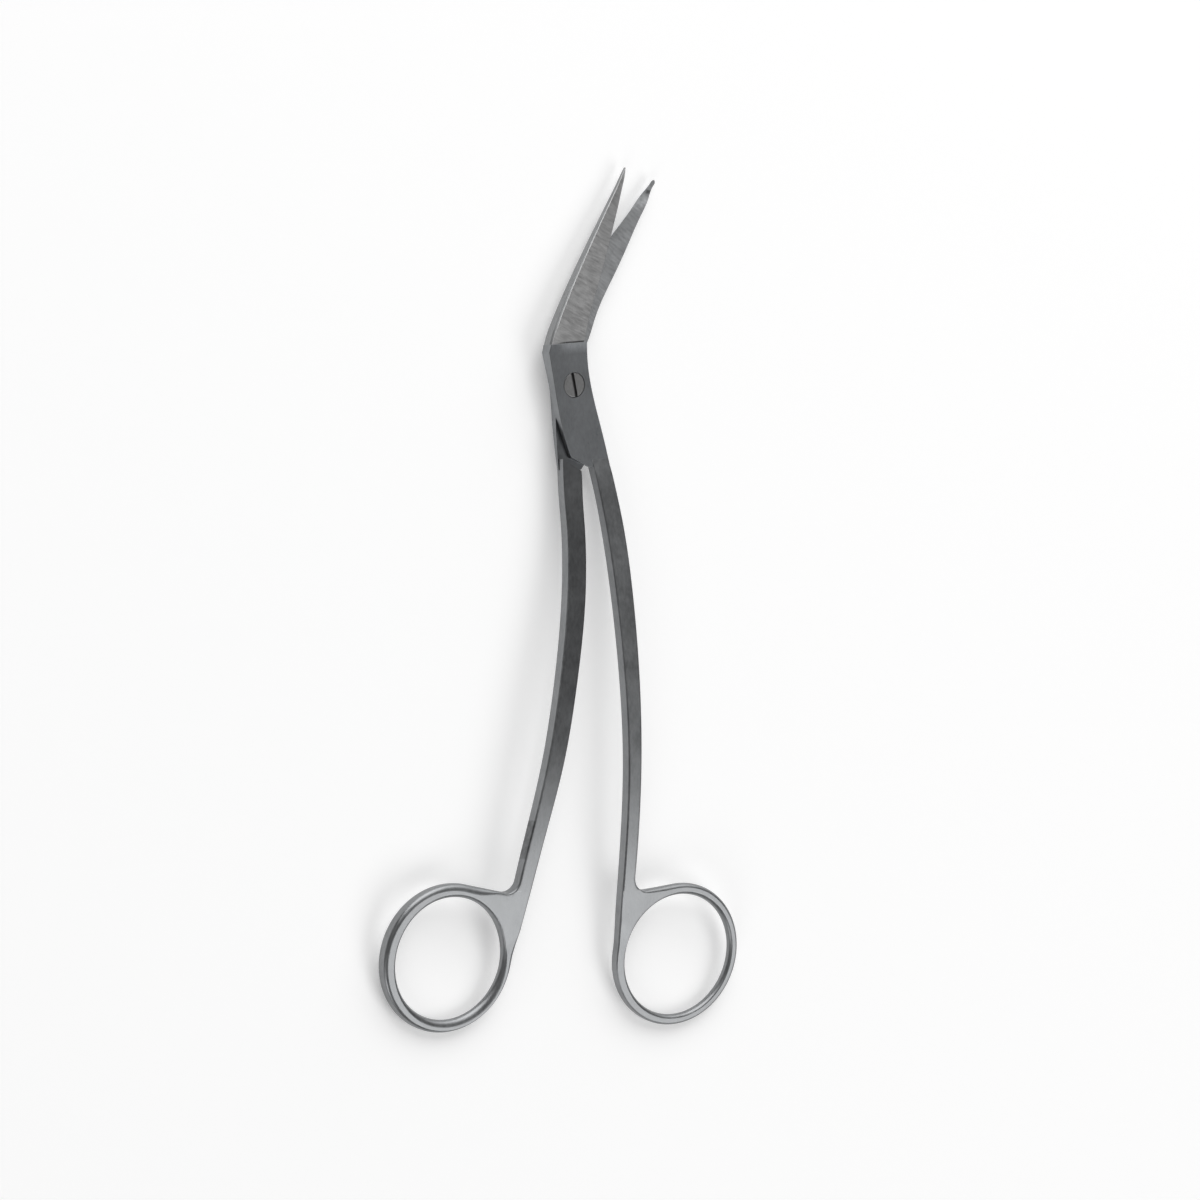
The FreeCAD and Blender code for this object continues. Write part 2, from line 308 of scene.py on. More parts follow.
# %% A small language for shaders
class Wire:
    """A socket that can stand in a sum, a difference or a product."""

    def __init__(self, finish, socket):
        self.finish, self.socket = finish, socket

    def maths(self, operation, first, second, clamp=False):
        return self.finish.node("ShaderNodeMath", {"operation": operation, "use_clamp": clamp},
                                {0: first, 1: second})

    __add__ = __radd__ = lambda self, other: self.maths("ADD", self, other)
    __mul__ = __rmul__ = lambda self, other: self.maths("MULTIPLY", self, other)
    __sub__ = lambda self, other: self.maths("SUBTRACT", self, other)
    __rsub__ = lambda self, other: self.maths("SUBTRACT", other, self)

    def between(self, low, high):
        """0 below the low value and 1 above the high one, in a straight line between them."""
        return self.maths("MULTIPLY", self - low, 1.0 / (high - low), clamp=True)


class Finish:
    """A material in the making. Its method called node adds any node."""

    def __init__(self, name):
        self.material = bpy.data.materials.new(name)
        self.material.use_nodes = True
        self.tree = self.material.node_tree
        self.tree.nodes.clear()

    def node(self, kind, settings=None, values=None, out=0):
        """Adds a node of this kind, then its settings, then the values or links of its sockets,
        and gives back the output that is asked for."""
        made = self.tree.nodes.new(kind)
        for key, setting in (settings or {}).items():
            setattr(made, key, setting)
        for key, value in (values or {}).items():
            if isinstance(value, Wire):
                self.tree.links.new(value.socket, made.inputs[key])
            else:
                made.inputs[key].default_value = value
        return Wire(self, made.outputs[out]) if made.outputs else None

    def place(self, turn=0.0, scale=(1, 1, 1)):
        """Millimetres about the pivot, turned about Z by the angle in degrees, then stretched."""
        rotation = Matrix.Rotation(math.radians(turn), 3, "Z")
        middle = rotation @ Vector(pivot) * -mm_in_metre
        where = self.node("ShaderNodeTexCoord", out="Object")
        where = self.node("ShaderNodeMapping", None, {
            "Vector": where, "Location": middle, "Rotation": (0, 0, math.radians(turn)),
            "Scale": (mm_in_metre,) * 3})
        return self.node("ShaderNodeMapping", None, {"Vector": where, "Scale": scale})

    def axes(self, turn):
        """Distances in millimetres from the pivot to the right, towards the tips and up."""
        place = {"Vector": self.place(turn)}
        return [self.node("ShaderNodeSeparateXYZ", None, place, out=name) for name in "XYZ"]

    def noise(self, where, scale, detail=2.0, rough=0.5):
        """Smooth noise from 0 to 1, with the scale in patches per millimetre."""
        return self.node("ShaderNodeTexNoise", None, {
            "Vector": where, "Scale": scale, "Detail": detail, "Roughness": rough})

    def ends_in(self, surface):
        """Makes this surface what the material shows."""
        self.node("ShaderNodeOutputMaterial", None, {"Surface": surface})


def grey(level, warm=0.0):
    """A grey given as a screen's level from 0 to 255, with red raised and blue lowered by warm.
    Each level v becomes an amount of light ((v / 255 + 0.055) / 1.055) ^ 2.4."""
    levels = (level + warm, level, level - warm)
    return tuple(((v / 255 + 0.055) / 1.055) ** 2.4 for v in levels)


def worn_tone(finish, where, lines):
    """The factor 1 + patches (broad - 1/2) + lines (fine - 1/2) - specks, of broad noise, of
    the stretched noise that makes the lines, and of a few dark specks."""
    patches = 0.5
    broad = finish.noise(finish.place(), 0.16, detail=3.0, rough=0.6)
    fine = finish.noise(where, 1.0, detail=2.0, rough=0.7)
    specks = finish.noise(finish.place(), 1.7, detail=1.0).between(0.70, 0.80)
    return 1.0 + (broad - 0.5) * patches + (fine - 0.5) * lines - specks * 0.12, broad, fine


# how far the fine lines stand out, in metres
line_depth = 4e-6


def steel(name, level, warm, shine, turn, stretch, marks=None, marks_turn=None, level_face_shade=0.0,
          lines=0.4, grain=0.2):
    """Stainless steel: noise stretched along one direction makes its fine lines, which also
    roughen it and stand out a few micrometres. Marks give one more factor of the tone."""
    finish = Finish(name)
    where = finish.place(turn, stretch)
    tone, broad, fine = worn_tone(finish, where, lines)
    if marks:
        tone = tone * marks(finish, *finish.axes(turn if marks_turn is None else marks_turn))
    if level_face_shade:
        # painted shade: the level faces of the shank's upper part, found by their own normal, are darkened
        facing = finish.node("ShaderNodeTexCoord", out="Normal")
        upright = finish.node("ShaderNodeSeparateXYZ", None, {"Vector": facing}, out="Z")
        upper_part = finish.axes(turn)[1].between(-90, -60)
        tone = tone * (1.0 - upright.between(0.7, 0.95) * upper_part * level_face_shade)
    colour = finish.node("ShaderNodeVectorMath", {"operation": "SCALE"},
                         {0: grey(level, warm), "Scale": tone})
    roughness = shine + (broad - 0.5) * 0.12 + (fine - 0.5) * grain
    bump = finish.node("ShaderNodeBump", None,
                       {"Strength": 0.5, "Distance": line_depth, "Height": fine})
    finish.ends_in(finish.node("ShaderNodeBsdfPrincipled", None, {
        "Metallic": 1.0, "Base Color": colour, "Roughness": roughness, "Normal": bump}))
    return finish.material


def within(value, low, high, soft):
    """1 between low and high, falling to 0 over the soft distance inside each end."""
    return value.between(low, low + soft) * (high - value).between(0, soft)


def crease_painted_shade(finish, x, y, z):
    """Painted shade on the front blade: a dark line at the foot of the crease and darker above it.
    This and the next marks are factors of the tone at x, y and z millimetres from the pivot."""
    ragged = finish.noise(finish.place(), 1.3, detail=3.0, rough=0.7)
    line = within(y, 8.2, 8.75, 0.12) * (x + ragged * 4.0).between(-1.8, 0.8)
    cloud = finish.noise(finish.place(), 0.35, detail=0.0).between(0.2, 0.7)
    shade_above_crease = within(y, 8.0, 10.8, 1.3) * within(x, -3.6, 3.6, 1.8) * cloud
    return 1.0 - line * 0.6 - shade_above_crease * 0.45


def tip_wear(finish, x, y, z):
    """The rear blade is rubbed bright behind its tip, with one dark mark."""
    uneven = finish.noise(finish.place(), 0.9).between(0.2, 0.7)
    rubbed = within(y, 35.5, 39.8, 1.5) * uneven
    mark = within(y, 39.5, 40.5, 0.3) * (x - 15.2).between(0, 0.4)
    return 1.0 + rubbed * 0.7 - mark * 0.6


def lock_painted_sheen_and_shade(finish, x, y, z):
    """Painted highlight on the front lock face under the crease, and painted shade that darkens
    it towards the shank.
    """
    uneven = finish.noise(finish.place(), 0.5)
    under_crease = y.between(6.2, 8.4) * x.between(-4.2, -1.0) * (uneven + 0.4)
    towards_shank = (0.0 - y).between(0.0, 17.0)
    return 1.0 + under_crease * 0.95 - towards_shank * 0.08


def lap_painted_shade(finish, x, y, z):
    """Painted shade on the rear plate where the front plate's edge stands over it."""
    beside_edge = within(x + y * 0.41, -5.9, -3.4, 0.7) * y.between(-13.5, -9.5)
    return 1.0 - z.between(-0.6, -0.2) * beside_edge * 0.15


def stain(y_low, y_high, wall, lean):
    """Marks of a dark side wall of the shank, between two distances from the pivot. At y_high
    the wall is this far to the right, and it leans from there."""
    def marks(finish, x, y, z):
        on_wall = (wall + (y - y_high) * lean - x).between(-0.1, 0.1)
        uneven = finish.noise(finish.place(), 0.8, detail=3.0).between(0.1, 0.6)
        return 1.0 - within(y, y_low, y_high, 0.3) * on_wall * uneven * 0.45
    return marks


def half_steels(half, turn, levels, warm, blade_wear_and_shade, lock_painted_light, handle_marks):
    """Finishes of one half: blade faces and backs, lock face and sides, and the handle. The
    turn closes the half. The levels are the blade's, the lock's and the handle's, and how
    much painted shade darkens the shank's level faces."""
    blade_level, lock_level, handle_level, level_face_shade = levels
    blade_turn = turn + blade_lean_angle
    lock_lines = (2.0, 0.8, 1.0)
    blade = steel(half + "_blade_ground", blade_level, warm, 0.48, blade_turn,
                  (0.4, 2.6, 0.4), blade_wear_and_shade, turn, lines=0.6, grain=0.3)
    back = steel(half + "_blade_back", 152, -1.0, 0.42, blade_turn, (1.5, 0.6, 1.5), lines=0.3)
    side = steel(half + "_lock_side", 142, -2.0, 0.38, turn, lock_lines)
    lock = steel(half + "_lock_dulled", lock_level, -2.0, 0.38, turn, lock_lines, lock_painted_light)
    handle = steel(half + "_handle_satin", handle_level, -1.5, 0.37, turn,
                   (2.0, 0.8, 2.0), handle_marks, level_face_shade=level_face_shade)
    return (blade, back), (lock, side), (handle,)


# the crease, lock and lap marks are painted shade and highlight, and the last level is painted shade on the rear
# shank's level faces; the stains and the tip's wear are the steel's own
front_steels = half_steels("front", -open_angle / 2, (182, 114, 140, 0.0), 0.0,
                           crease_painted_shade, lock_painted_sheen_and_shade, stain(-86.3, -79.6, 5.4, 0.09))
rear_steels = half_steels("rear", open_angle / 2, (168, 118, 141, 0.42), -1.5,
                          tip_wear, lap_painted_shade, stain(-94.0, -86.0, -2.5, 0.18))
screw_steel = steel("screw_turned", 125, 0.0, 0.40, 0, (2.0, 2.0, 2.0))

# %% [markdown]
# The blades
#
# A blade is thickest at its back and thins to the cutting edge and to the tip. Its inner face
# is flat, and so is its outer one apart from a narrow flat along the back and a ground bevel
# at the edge; the inner face has a narrow bevel along the back, wider on the rear blade. So
# its section is a polygon of seven corners, each of them rounded, whose sizes follow the
# distance from the tip.

# %% Blade surfaces
lap_gap = 0.06
blade_tip = np.array([16.87, 42.1])
blade_lean = math.radians(blade_lean_angle)
# distance back from the tip, then how far back and edge stand off the blade's axis
front_blade_sizes = np.array([
    (0.1, 0.05, 0.35), (1.3, 0.2, 0.75), (3.5, 0.38, 1.13), (7.0, 0.77, 1.68),
    (13.5, 1.55, 2.50), (21.0, 2.36, 3.15), (30.0, 3.10, 3.6), (35.0, 3.33, 4.13),
    (39.0, 3.25, 4.3), (41.0, 2.95, 4.1)])
rear_blade_sizes = np.array([
    (-0.45, 0.16, 0.1), (-0.25, 0.38, 0.24), (0.6, 0.55, 0.42), (3.5, 1.02, 0.92),
    (7.5, 1.38, 1.33), (13.5, 1.95, 2.12), (21.0, 2.56, 2.85), (30.0, 3.42, 3.2),
    (35.0, 4.5, 3.0), (39.0, 4.6, 2.5), (41.0, 4.4, 2.2)])
blade_length = 41.0
# the blade has its full height from this distance on, and its tip has closer sections
full_height_at, tip_part = 36.0, 1.4
front_bevel, rear_bevel = 0.08, 0.32


def blade_skin(name, sizes, side, inner_bevel):
    """Closed blade. Point = tip - distance * axis + side * offset * across, at side * height;
    the side is 1 for the front half and -1 for the rear half, which is turned over."""
    distance = np.concatenate([np.linspace(sizes[0, 0], tip_part, 9)[:-1],
                               np.linspace(tip_part, blade_length, 90)])
    back, edge = smooth_through(sizes[:, 0], sizes[:, 1:], distance).T
    t = np.clip(distance / full_height_at, 0, 1)
    back_height, edge_height = 0.6 + 1.85 * t, 0.28 + 2.07 * t ** 1.6
    flat = np.minimum(0.16 + 0.26 * t, 0.8 * (back + edge))
    bevel = np.minimum(0.3, 0.4 * (back + edge))
    inner = np.full_like(t, lap_gap / 2)
    # the corners, once round from the inner face at the back
    offsets = np.stack([inner_bevel * t ** 0.3 - back, -back, -back, flat - back,
                        edge - bevel, edge, edge], 1)
    heights = np.stack([inner, inner + 0.4 * inner_bevel, back_height - flat, back_height,
                        edge_height, inner + 0.2 * edge_height, inner], 1)
    corner_cuts = [0.04, 0.04, 0.12, 0.12, 0.12, 0.04, 0.02]
    outline = rounded(np.stack([offsets, heights], 2), corner_cuts)
    axis = np.array([math.sin(blade_lean), math.cos(blade_lean)])
    across = np.array([axis[1], -axis[0]])
    plan = blade_tip - distance[:, None, None] * axis + side * outline[:, :, :1] * across
    return tube_object(name, np.concatenate([plan, side * outline[:, :, 1:]], 2))


# %% [markdown]
# The lock plates
#
# Where the halves cross, each is thinned to a plate, and the two plates slide on each other.
# A plate is a slab between the flat meeting face and an outer face that slopes towards the
# handles, with a finely broken edge. Its outline is two smooth curves and a straight end.

# %% Lock plate surfaces
lock_slope = math.tan(math.radians(5.0))
knee_y = 8.3
knee_corner = (-5.7, 6.75)
front_left_edge = [knee_corner, (-4.65, 0.3), (-3.2, -7.6), (-1.4, -13.6)]
rear_left_edge = [(-4.2, knee_y), (-4.45, 6.3), (-3.19, -0.8), (-2.62, -5.5), (-2.06, -10.2)]
lock_right_edge = [(3.3, knee_y), (3.3, 5.6), (3.7, 1.3), (4.8, -3.9), (6.5, -10.2)]
left_root, right_root = (-1.0, -16.9), (8.15, -16.9)
plate_toe, plate_heel = (-1.05, -14.3), (3.4, -16.55)
shoulder = [(-2.6, -14.1), (3.55, -16.7)]
lock_mid, lock_lean = np.array([-0.4, 0.0]), math.radians(-14.4)


def lock_face(y):
    """Height of the plate's outer face over the meeting plane."""
    return lock_face_height + y * lock_slope


def mirrored_in_lock(point):
    """The point across the lock's middle line: mid + 2 (d . axis) axis - d."""
    axis = np.array([math.sin(lock_lean), math.cos(lock_lean)])
    d = np.array(point) - lock_mid
    return tuple(lock_mid + 2 * (d @ axis) * axis - d)


def curve_through(points, count):
    """Smooth curve through plan points, counted by the straight distance between them."""
    points = np.array(points)
    run = np.concatenate([[0], np.cumsum(np.linalg.norm(np.diff(points, axis=0), axis=1))])
    return smooth_through(run, points, np.linspace(0, run[-1], count))


def plate_skin(name, knee, left, right, end, side, broken=0.1):
    """Closed plate: walls up the outline, then a quarter round of the broken edge, then a flat
    face. The round insets the outline by broken (1 - cos a) and rises by broken sin a."""
    outline = np.concatenate([knee, curve_through(left, 40), end, curve_through(right, 40)[::-1]])
    run = np.roll(outline, -1, 0) - outline
    run /= np.linalg.norm(run, axis=1, keepdims=True)
    inward = np.stack([-run[:, 1], run[:, 0]], 1)
    before = np.roll(inward, 1, 0)
    mitre = (inward + before) / (1 + (inward * before).sum(1, keepdims=True))
    a = np.linspace(0, math.pi / 2, 5)
    plan = outline[None] + mitre[None] * (broken * (1 - np.cos(a)))[:, None, None]
    height = lock_face(plan[:, :, 1]) - (broken * (1 - np.sin(a)))[:, None]
    foot = np.concatenate([outline, np.full((len(outline), 1), lap_gap / 2)], 1)[None]
    loops = np.concatenate([foot, np.concatenate([plan, height[:, :, None]], 2)])
    loops[:, :, 2] *= side
    return tube_object(name, loops)


front_end = [plate_toe, plate_heel]
rear_end = [mirrored_in_lock(plate_heel), mirrored_in_lock(plate_toe)]

# %% [markdown]
# The handles
#
# A handle is a shank that runs smoothly into a finger ring. The ring's wire is round, and
# where it meets the shank the corner is filled, as on any drop forging. Ring, filled corner
# and shank end are made as one sheet of ribs from the hole to the outline, above and below
# the ring's own plane, and the shank is a section carried along its line. Both share the
# points of one section, so that the handle is a single closed skin.

# %% Sizes of the handles
ring_slope = math.radians(10.6)
ring_cos, ring_sin = math.cos(ring_slope), math.sin(ring_slope)
ring_height = -3.1
mean_hole_radius = 12.3
near_ring_edge_round = 0.42
# by share of the way to the ring: the shank's height over the meeting plane, how far the half
# stands off it, its half thickness and its edge round, then the place and the width of the
# rear shank and of the front one
shank_sizes = np.array([
    (0.0, 0.0, 0.30, 1.10, 0.05, 0.55, 3.6, 5.15, 3.6),
    (0.046, 0.0, 0.30, 1.12, 0.15, 1.38, 4.45, 6.15, 3.9),
    (0.092, 0.05, 0.20, 1.18, 0.32, 1.93, 4.53, 6.85, 4.0),
    (0.161, 0.30, 0.05, 1.23, 0.35, 2.85, 4.4, 7.53, 4.08),
    (0.346, 1.17, 0.0, 1.25, 0.35, 3.68, 4.37, 8.30, 3.95),
    (0.530, 1.84, 0.0, 1.25, 0.35, 2.65, 4.15, 8.17, 3.55),
    (0.714, 1.90, 0.0, 1.25, 0.35, 0.78, 3.9, 7.37, 3.15),
    (0.887, 0.92, 0.0, 1.25, 0.38, -1.76, 3.45, 6.07, 3.02)])
shank_root_y = -13.0
# for each side: the ring's middle, its mean wire, the radii of the oval hole and its shift, the
# wire's radius with its change and where it is thickest, the filled corner's radius, how high
# the wire is ground flat, what varies round the ring by degrees, and the shank's last
# stations: distance above the ring's middle, place outwards, half width and half thickness
handles = {
    -1: {"ring": (-17.72, -114.35), "wire": 1.27, "hole": (12.3, 12.3), "shift": (0.2, 0.0),
         "varied": (1.30, 0.18, 165.0), "fillet": 2.8, "ground": 0.985,
         "crest": [(20, -0.4), (60, -0.45), (95, -0.3), (140, -0.3), (205, -0.3), (255, 0.2),
                   (300, 0.5), (345, 0.35)],
         "wall": [(20, 0.1), (70, 0.0), (110, 0.2), (150, 0.38), (215, 0.38), (255, 0.2),
                  (290, 0.1), (330, 0.0)],
         "approach": [(14.5, 1.12, 1.6, 1.22), (8.0, 0.6, 1.38, 1.18), (0.0, 0.0, 1.1, 0.98)]},
    1: {"ring": (17.62, -114.35), "wire": 1.14, "hole": (12.5, 12.22), "shift": (-0.1, -0.2),
        "varied": (1.07, 0.065, 40.0), "fillet": 2.8, "ground": 0.92,
        "crest": [(20, -0.3), (60, -0.3), (100, 0.0), (150, 0.0), (220, 0.0), (280, 0.1),
                  (335, 0.0)],
        "wall": [(10, 0.6), (50, 0.3), (95, 0.0), (150, 0.0), (240, 0.0), (290, 0.2),
                 (335, 0.6)],
        "approach": [(14.5, -1.0, 1.42, 1.22), (8.0, -0.5, 1.25, 1.15), (0.0, 0.0, 0.98, 0.9)]}}


class Handle:
    """One handle's line and the frame of its ring, with u towards the shank, v towards the
    blades and w up from the ring's plane. The side is -1 for the rear half, 1 for the front."""

    def __init__(self, side):
        self.side, sizes = side, handles[side]
        self.sizes = sizes
        ring_x, ring_y = sizes["ring"]
        du, dv = sizes["shift"]
        self.middle = np.array([ring_x - side * du, ring_y + dv * ring_cos,
                                ring_height + dv * ring_sin])
        rows = []
        run = ring_y + sizes["approach"][0][0] - shank_root_y
        for share, height, offset, half, round_, *plan in shank_sizes:
            x, width = plan[:2] if side < 0 else plan[2:]
            y = shank_root_y + share * run
            rows.append((y, x, height - side * offset, width / 2, half, round_))
        for up, out, half_width, half in sizes["approach"]:
            x = ring_x - side * (mean_hole_radius + sizes["wire"] + out)
            height = ring_height + up * math.tan(ring_slope)
            rows.append((ring_y + up, x, height, half_width, half, near_ring_edge_round))
        self.rows = np.array(rows)

    def at(self, y):
        """x, height, half width, half thickness and edge round of the shank at y."""
        return smooth_through(-self.rows[:, 0], self.rows[:, 1:], -np.atleast_1d(y)).T

    def y_of(self, v):
        """The closed frame's y of a place v on the ring's plane."""
        return self.middle[1] + np.asarray(v) * ring_cos

    def v_of(self, y):
        """The place v on the ring's plane at y."""
        return (y - self.middle[1]) / ring_cos

    def sides(self, v):
        """u of the shank's hand side and of its outer side at v."""
        x, height, half_width, half, round_ = self.at(self.y_of(v))
        u = self.side * (self.middle[0] - x)
        return u - half_width, u + half_width

    def edges(self, v):
        """u of the hand side with its fillet, u of the outer side, and the hand side's edge
        round, which a slanting wall stretches across the section."""
        v = np.asarray(v)
        hand, outer = self.sides(v)
        above = np.minimum(v - self.fillet_centre[1], 0)
        reach = np.sqrt(self.sizes["fillet"] ** 2 - above ** 2)
        in_fillet = v < self.fillet_end
        lean_out = np.where(in_fillet, -above / reach, 0)
        hand = np.where(in_fillet, self.fillet_centre[0] + reach, hand)
        return hand, outer, self.at(self.y_of(v))[4] * np.sqrt(1 + lean_out ** 2)

    def cut_section(self):
        """u and w of the top points of the section that ring and shank share, at cut_v."""
        half, round_ = self.at(self.y_of([self.cut_v]))[3:5]
        u, w = section(*self.edges([self.cut_v]), half, round_)
        return u[0, top_count - 1::-1], w[0, top_count - 1::-1]

    def out_of_ring(self, u, v, w):
        """Closed-frame points of ring coordinates."""
        x, y, z = self.middle
        return np.stack([x - self.side * u, y + v * ring_cos - w * ring_sin,
                         z + v * ring_sin + w * ring_cos], -1)

    def hole(self, angle):
        """Radius of the slightly oval hole."""
        a, b = self.sizes["hole"]
        return a * b / np.sqrt((b * np.cos(angle)) ** 2 + (a * np.sin(angle)) ** 2)

    def wire(self, angle):
        """Radius of the ring's wire, which is thicker on one side, as it is ground by hand."""
        mean, more, towards = self.sizes["varied"]
        return mean + more * np.cos(angle - math.radians(towards))

    def ring_edge(self, angle):
        """Distance from the middle to the free ring's outer edge."""
        return self.hole(angle) + 2 * self.wire(angle)


def softly_larger(a, b, k):
    """The larger of two values, with a rounding k deep where they are alike."""
    near = np.maximum(0, 1 - np.abs(a - b) / k)
    return np.maximum(a, b) + k * near ** 2 / 4


# %% Section of the shank
def section_pattern():
    """Points of a rounded rectangle between u = hand and u = outer, as u = hand + s (outer -
    hand) + p hand_round - q outer_round and w = c half - d round. The top face comes first,
    from the hand side to the outer side."""
    turn = np.linspace(0, math.pi / 2, 6)
    flat = np.linspace(0, 1, 9)[1:-1]
    ones, zeros, back = np.ones_like(turn), np.zeros_like(turn), turn[::-1]
    s = np.concatenate([zeros, flat, ones])
    p = np.concatenate([1 - np.cos(turn), 1 - flat, zeros])
    q = np.concatenate([zeros, flat, 1 - np.cos(back)])
    c = np.ones_like(s)
    d = np.concatenate([1 - np.sin(turn), 0 * flat, 1 - np.sin(back)])
    top = np.stack([s, p, q, c, d])
    wall, none = np.array([1 / 3, -1 / 3]), np.zeros(2)
    outer_wall = np.stack([none + 1, none, none, wall, wall])
    bottom = np.stack([s, p, q, -c, -d])[:, ::-1]
    hand_wall = np.stack([none, none, none, -wall, -wall])
    return np.concatenate([top, outer_wall, bottom, hand_wall], 1), len(s)


pattern, top_count = section_pattern()


def section(hand, outer, hand_round, half, round_):
    """u and w of every section point, for each row of sizes."""
    s, p, q, c, d = pattern[:, None, :]
    hand, outer, hand_round, half, round_ = [
        np.reshape(size, (-1, 1)) for size in (hand, outer, hand_round, half, round_)]
    return hand + s * (outer - hand) + p * hand_round - q * round_, c * half - d * round_


# %% Handle surface
def segment_distance(points, start, end):
    """Least distance from each point to any of the straight segments."""
    run = end - start
    t = ((points[:, None] - start) * run).sum(2) / (run ** 2).sum(1)
    near = start + np.clip(t, 0, 1)[:, :, None] * run
    return np.sqrt(((points[:, None] - near) ** 2).sum(2).min(1))


# in degrees from the shank's side of the ring: where the filled corner leaves the ring and
# where the shank's outer line joins it; then the corner's own angle at the shared section
web_angle, outer_angle, cut_angle = 85.0, -20.0, 126.0
web_count, ring_count, outer_count, corner_count = 20, 130, 70, 8


def on_rays(reach, angles):
    """Plan points at these distances along rays from the ring's middle."""
    return np.stack([reach * np.cos(angles), reach * np.sin(angles)], 1)


def left_normal(run):
    """Unit vector square to a run in plan, to its left."""
    return np.array([-run[1], run[0]]) / np.linalg.norm(run)


def fill_corner(handle, web_turn):
    """The arc that fills the corner touches the ring's tangent at the web angle and the
    shank's hand side: its centre is the fillet's radius off both straight lines."""
    step = 1e-3
    angles = web_turn + np.array([-step, 0, step])
    near = on_rays(handle.ring_edge(angles), angles)
    web_normal = left_normal(near[0] - near[2])
    low, high = 15.0, 17.5
    hand = handle.sides(np.array([low, high]))[0]
    shank_normal = left_normal(np.array([hand[1] - hand[0], high - low]))
    fillet = handle.sizes["fillet"]
    centre = np.linalg.solve(np.stack([web_normal, shank_normal]), [
        web_normal @ near[1] + fillet, shank_normal @ (hand[0], low) + fillet])
    handle.fillet_centre, handle.fillet_end = centre, (centre - fillet * shank_normal)[1]
    return near[1], web_normal


def shank_line(handle, angles, reach):
    """Distance from the ring's middle to the shank's outer side along each ray, found by
    repeating line = u(line sin a) / cos a until it settles, and 0 below the shank."""
    below_shank, repeats = math.radians(-8), 12
    line = reach.copy()
    for _ in range(repeats):
        line = handle.sides(line * np.sin(angles))[1] / np.cos(angles)
    return np.where(angles > below_shank, line, 0)


def handle_outline(handle):
    """Outline of ring, filled corner and shank end in the ring's plane, once round. The handle
    notes cut_v, the place of the section that ring and shank share, and the first and last
    outline point on it."""
    web_turn, cut_turn = math.radians(web_angle), math.radians(cut_angle)
    web_start, web_normal = fill_corner(handle, web_turn)
    fillet, centre = handle.sizes["fillet"], handle.fillet_centre
    web_end = centre - fillet * web_normal
    handle.cut_v = cut_v = float(centre[1] - fillet * math.sin(cut_turn))
    w = np.linspace(0, 1, web_count, endpoint=False)[:, None]
    web = web_end * (1 - w) + web_start * w
    angles = np.linspace(web_turn, math.radians(360 + outer_angle), ring_count, endpoint=False)
    ring = on_rays(handle.ring_edge(angles), angles)
    cut_outer = float(handle.sides([cut_v])[1][0])
    angles = np.linspace(math.radians(outer_angle), math.atan2(cut_v, cut_outer), outer_count)
    reach = handle.ring_edge(angles)
    outer = on_rays(softly_larger(reach, shank_line(handle, angles, reach), 0.25), angles)
    cut = np.stack([handle.cut_section()[0], np.full(top_count, cut_v)], 1)
    swing = np.linspace(cut_turn - math.pi, math.atan2(-web_normal[1], -web_normal[0]),
                        corner_count)[1:-1]
    corner = centre + fillet * on_rays(1, swing)
    handle.first = web_count + ring_count + outer_count - 1
    handle.last = handle.first + top_count - 1
    return np.concatenate([web, ring, outer[:-1], cut, corner])


def round_the_ring(handle, name, angle):
    """A share that varies round the ring: "crest" is where the wire's highest line runs between
    hole and outer edge, from -1 to 1; "wall" is how much of its outer side stands upright."""
    at, values = np.array(handle.sizes[name]).T
    at = np.radians(np.concatenate([at - 360, at, at + 360]))
    return smooth_through(at, np.tile(values, 3)[:, None], angle.ravel()).reshape(angle.shape)


# where the ribs leave the hole at the filled corner and at the two ends of the shared section,
# in degrees; a few ribs past the free ring still stand square to the hole
fan_start, fan_first, fan_last = 48.0, 384.0, 397.0
square_ribs = 15
# shares of a quarter turn, so that the points are close together where the wire is steep
quarter_turn = 1 - np.cos(np.radians([0, 8, 17, 27, 37, 47, 56, 64, 70, 74, 80]))


def rib_starts(handle, angle):
    """Angle at which each rib leaves the hole: the outline's own angle along the free ring, and
    spread evenly between a few given ones elsewhere, so that no two ribs cross."""
    index = np.arange(len(angle))
    ring_end = web_count + ring_count
    square_end = ring_end + square_ribs
    at = [0, web_count, ring_end, square_end, handle.first, handle.last, len(angle)]
    spread = np.radians([fan_start, web_angle, 360 + outer_angle, math.degrees(angle[square_end]),
                         fan_first, fan_last, 360 + fan_start])
    square = (index >= web_count) & (index <= square_end)
    return np.where(square, angle, np.interp(index, at, spread))


def rib_sizes(handle, outline, start_angle, square_width):
    """For each rib: how far it belongs to the filled corner, from 0 to 1, by the smooth step
    t t (3 - 2t) of its width; the way up the hole's side of the wire; and the depth of its
    rounded rim and the height of the edge under that, which fade from wire to shank."""
    wire, crest = handle.wire(start_angle), round_the_ring(handle, "crest", start_angle)
    wall = np.clip(round_the_ring(handle, "wall", start_angle), 0, 0.7)
    t = np.clip((square_width - 2 * wire) / 2.0, 0, 1)
    filled = t * t * (3 - 2 * t)
    half, round_ = handle.at(handle.y_of(np.clip(outline[:, 1], 0, handle.cut_v)))[3:5]
    rim = (1 - filled) * wire * (1 - crest) * (1 - wall) + filled * round_
    edge = np.maximum(0.02, (1 - filled) * wall * wire + filled * (half - round_))
    return filled, wire * (1 + crest), rim, edge


